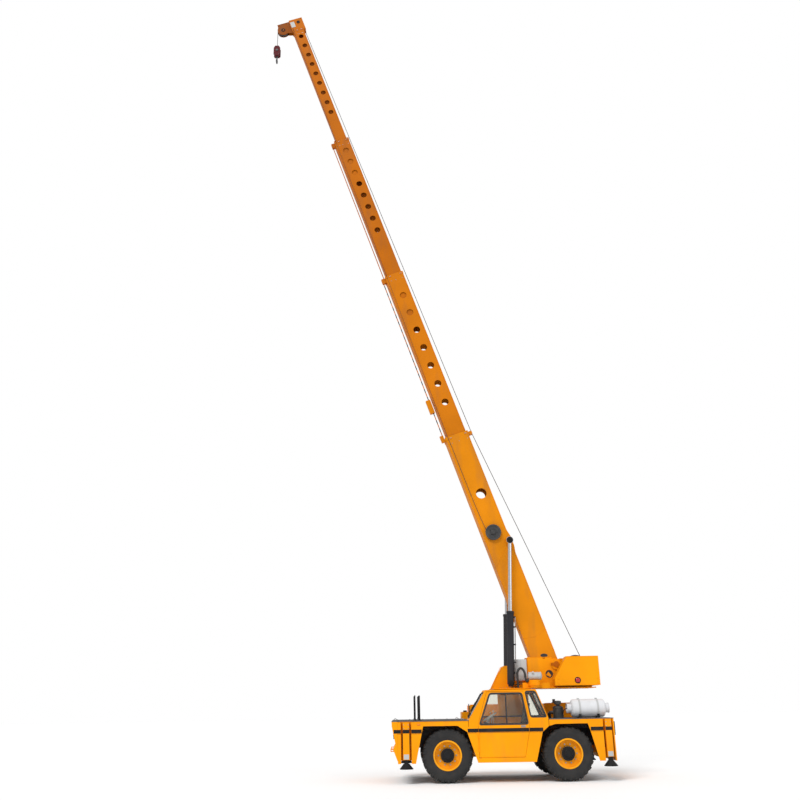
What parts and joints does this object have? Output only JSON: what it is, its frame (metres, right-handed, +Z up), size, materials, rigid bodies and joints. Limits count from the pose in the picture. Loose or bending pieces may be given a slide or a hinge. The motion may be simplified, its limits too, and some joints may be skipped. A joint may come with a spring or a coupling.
{
  "type": "carry deck crane",
  "caption": "Low carry deck crane with a side cab, slewing telescopic boom run out and raised, outriggers and a hanging hook block.",
  "frame": {"origin": "on the ground, at the middle of the box that the whole machine fills", "axes": "+Z up, -X towards the machine's front and over its nose, -Y towards its cab side"},
  "size_m": [8.2832, 2.58, 21.8723],
  "materials": {
    "orange_paint": "glossy orange enamel",
    "boom_paint": "glossy orange enamel on the boom",
    "black_paint": "satin black enamel",
    "frame_paint": "satin dark chassis paint",
    "deck_grey": "anti-slip dark grey paint",
    "barrel_grey": "satin charcoal enamel",
    "light_grey": "satin light grey enamel",
    "white_paint": "satin silver-white enamel",
    "chrome_rod": "polished hard chrome",
    "iron": "dark cast iron",
    "tyre_rubber": "worn black tyre rubber",
    "rim_paint": "orange enamel",
    "hook_red": "dark maroon enamel",
    "clear_glass": "clear laminated glass",
    "lamp_lens": "ribbed clear lens",
    "red_lens": "red lens",
    "black_vinyl": "black vinyl",
    "black_plastic": "black moulded plastic"
  },
  "bodies": {
    "chassis": {"frame": "frame_paint", "deck": "deck_grey", "body_sides": "orange_paint", "nose": "orange_paint", "tail": "orange_paint", "engine": "iron", "engine_hood": "orange_paint", "hydraulic_tank": "orange_paint", "gas_bottle": "white_paint", "bottle_cradle": "black_paint", "air_cleaner": "black_plastic", "swing_pedestal": "orange_paint", "guide_posts": "black_paint", "headlamps": "lamp_lens", "tail_lamps": "red_lens", "axles": "frame_paint", "cab_shell": "orange_paint", "cab_glass": "clear_glass", "seat": "black_vinyl", "console": "black_plastic"},
    "cab_door": {"cab_door": "orange_paint", "door_glass": "clear_glass"},
    "hood_door": {"hood_door": "orange_paint"},
    "turntable": {"turntable": "orange_paint", "counterweight": "orange_paint", "winch": "iron", "swing_motor": "light_grey", "swing_gear": "orange_paint", "control_box": "light_grey"},
    "boom_base": {"boom_base": "boom_paint", "cable_reel": "black_plastic"},
    "boom_second": {"boom_second": "boom_paint"},
    "boom_third": {"boom_third": "boom_paint"},
    "boom_fourth": {"boom_fourth": "boom_paint", "head_sheaves": "iron"},
    "rod_guide": {"rod_guide": "boom_paint"},
    "lift_barrels": {"lift_barrels": "barrel_grey"},
    "lift_rods": {"lift_rods": "chrome_rod"},
    "hook_block": {"hook_block": "hook_red"},
    "hook": {"hook": "iron"},
    "knuckle_front_left": {"knuckle_front_left": "frame_paint"},
    "wheel_front_left": {"tyre_front_left": "tyre_rubber", "rim_front_left": "rim_paint"},
    "outrigger_front_left": {"outrigger_front_left": "orange_paint"},
    "jack_front_left": {"jack_front_left": "black_paint"},
    "knuckle_front_right": {"knuckle_front_right": "frame_paint"},
    "wheel_front_right": {"tyre_front_right": "tyre_rubber", "rim_front_right": "rim_paint"},
    "outrigger_front_right": {"outrigger_front_right": "orange_paint"},
    "jack_front_right": {"jack_front_right": "black_paint"},
    "knuckle_rear_left": {"knuckle_rear_left": "frame_paint"},
    "wheel_rear_left": {"tyre_rear_left": "tyre_rubber", "rim_rear_left": "rim_paint"},
    "outrigger_rear_left": {"outrigger_rear_left": "orange_paint"},
    "jack_rear_left": {"jack_rear_left": "black_paint"},
    "knuckle_rear_right": {"knuckle_rear_right": "frame_paint"},
    "wheel_rear_right": {"tyre_rear_right": "tyre_rubber", "rim_rear_right": "rim_paint"},
    "outrigger_rear_right": {"outrigger_rear_right": "orange_paint"},
    "jack_rear_right": {"jack_rear_right": "black_paint"}
  },
  "joints": [
    {"name": "cab_door_hinge", "type": "hinge", "parent": "chassis", "child": "cab_door", "pos_m": [1.16661, -1.224, 0.85], "axis": [0, 0, 1], "range_deg": [-85, 0]},
    {"name": "hood_door_hinge", "type": "hinge", "parent": "chassis", "child": "hood_door", "pos_m": [3.47161, 1.189, 1.567], "axis": [1, 0, 0], "range_deg": [0, 80]},
    {"name": "steer_front_left", "type": "hinge", "parent": "chassis", "child": "knuckle_front_left", "pos_m": [0.48161, -0.8, 0.56], "axis": [0, 0, 1], "range_deg": [-30, 30]},
    {"name": "roll_front_left", "type": "hinge", "parent": "knuckle_front_left", "child": "wheel_front_left", "pos_m": [0.48161, -0.978, 0.56], "axis": [0, 1, 0], "continuous": true},
    {"name": "outrigger_out_front_left", "type": "slide", "parent": "chassis", "child": "outrigger_front_left", "axis": [0, -1, 0], "range_m": [0, 0.6]},
    {"name": "jack_down_front_left", "type": "slide", "parent": "outrigger_front_left", "child": "jack_front_left", "axis": [0, 0, -1], "range_m": [0, 0.4]},
    {"name": "steer_front_right", "type": "hinge", "parent": "chassis", "child": "knuckle_front_right", "pos_m": [0.48161, 0.8, 0.56], "axis": [0, 0, 1], "range_deg": [-30, 30]},
    {"name": "roll_front_right", "type": "hinge", "parent": "knuckle_front_right", "child": "wheel_front_right", "pos_m": [0.48161, 0.978, 0.56], "axis": [0, 1, 0], "continuous": true},
    {"name": "outrigger_out_front_right", "type": "slide", "parent": "chassis", "child": "outrigger_front_right", "axis": [0, 1, 0], "range_m": [0, 0.6]},
    {"name": "jack_down_front_right", "type": "slide", "parent": "outrigger_front_right", "child": "jack_front_right", "axis": [0, 0, -1], "range_m": [0, 0.4]},
    {"name": "steer_rear_left", "type": "hinge", "parent": "chassis", "child": "knuckle_rear_left", "pos_m": [3.11161, -0.8, 0.56], "axis": [0, 0, 1], "range_deg": [-30, 30]},
    {"name": "roll_rear_left", "type": "hinge", "parent": "knuckle_rear_left", "child": "wheel_rear_left", "pos_m": [3.11161, -0.978, 0.56], "axis": [0, 1, 0], "continuous": true},
    {"name": "outrigger_out_rear_left", "type": "slide", "parent": "chassis", "child": "outrigger_rear_left", "axis": [0, -1, 0], "range_m": [0, 0.6]},
    {"name": "jack_down_rear_left", "type": "slide", "parent": "outrigger_rear_left", "child": "jack_rear_left", "axis": [0, 0, -1], "range_m": [0, 0.4]},
    {"name": "steer_rear_right", "type": "hinge", "parent": "chassis", "child": "knuckle_rear_right", "pos_m": [3.11161, 0.8, 0.56], "axis": [0, 0, 1], "range_deg": [-30, 30]},
    {"name": "roll_rear_right", "type": "hinge", "parent": "knuckle_rear_right", "child": "wheel_rear_right", "pos_m": [3.11161, 0.978, 0.56], "axis": [0, 1, 0], "continuous": true},
    {"name": "outrigger_out_rear_right", "type": "slide", "parent": "chassis", "child": "outrigger_rear_right", "axis": [0, 1, 0], "range_m": [0, 0.6]},
    {"name": "jack_down_rear_right", "type": "slide", "parent": "outrigger_rear_right", "child": "jack_rear_right", "axis": [0, 0, -1], "range_m": [0, 0.4]},
    {"name": "swing", "type": "hinge", "parent": "chassis", "child": "turntable", "pos_m": [2.10161, 0, 1.92], "axis": [0, 0, 1], "continuous": true},
    {"name": "boom_lift", "type": "hinge", "parent": "turntable", "child": "boom_base", "pos_m": [3.13161, 0, 2.46], "axis": [0, 1, 0], "range_deg": [-71.5, 3.5]},
    {"name": "second_section_slide", "type": "slide", "parent": "boom_base", "child": "boom_second", "axis": [-0.3173, 0, 0.9483], "range_m": [-4.15, 0]},
    {"name": "third_section_slide", "type": "slide", "parent": "boom_second", "child": "boom_third", "axis": [-0.3173, 0, 0.9483], "range_m": [-4.2, 0]},
    {"name": "fourth_section_slide", "type": "slide", "parent": "boom_third", "child": "boom_fourth", "axis": [-0.3173, 0, 0.9483], "range_m": [-4.1, 0]},
    {"name": "rod_guide_slide", "type": "slide", "parent": "boom_base", "child": "rod_guide", "axis": [-0.3173, 0, 0.9483], "range_m": [-0.62, 0]},
    {"name": "lift_barrel_pivot", "type": "hinge", "parent": "turntable", "child": "lift_barrels", "pos_m": [2.03161, 0, 2.065], "axis": [0, 1, 0], "range_deg": [-81.5, 4.9]},
    {"name": "lift_rod_slide", "type": "slide", "parent": "lift_barrels", "child": "lift_rods", "axis": [0.0486, 0, 0.9988], "range_m": [-1.315, 0.074]},
    {"name": "hook_block_hang", "type": "hinge", "parent": "boom_fourth", "child": "hook_block", "pos_m": [-3.85831, 0, 21.42195], "axis": [0, 1, 0], "range_deg": [-3.6, 71.6]},
    {"name": "hook_swivel", "type": "hinge", "parent": "hook_block", "child": "hook", "pos_m": [-4.03161, 0, 20.45495], "axis": [0, 0, 1], "continuous": true}
  ],
  "couplings": [
    {"joint": "steer_front_right", "follows": "steer_front_left", "ratio": 1},
    {"joint": "steer_rear_right", "follows": "steer_rear_left", "ratio": 1},
    {"joint": "rod_guide_slide", "follows": "second_section_slide", "ratio": 0.149},
    {"joint": "lift_barrel_pivot", "follows": "boom_lift", "ratio": 1.126},
    {"joint": "lift_rod_slide", "follows": "boom_lift", "m_per_rad": 1.0457},
    {"joint": "hook_block_hang", "follows": "boom_lift", "ratio": -1}
  ]
}
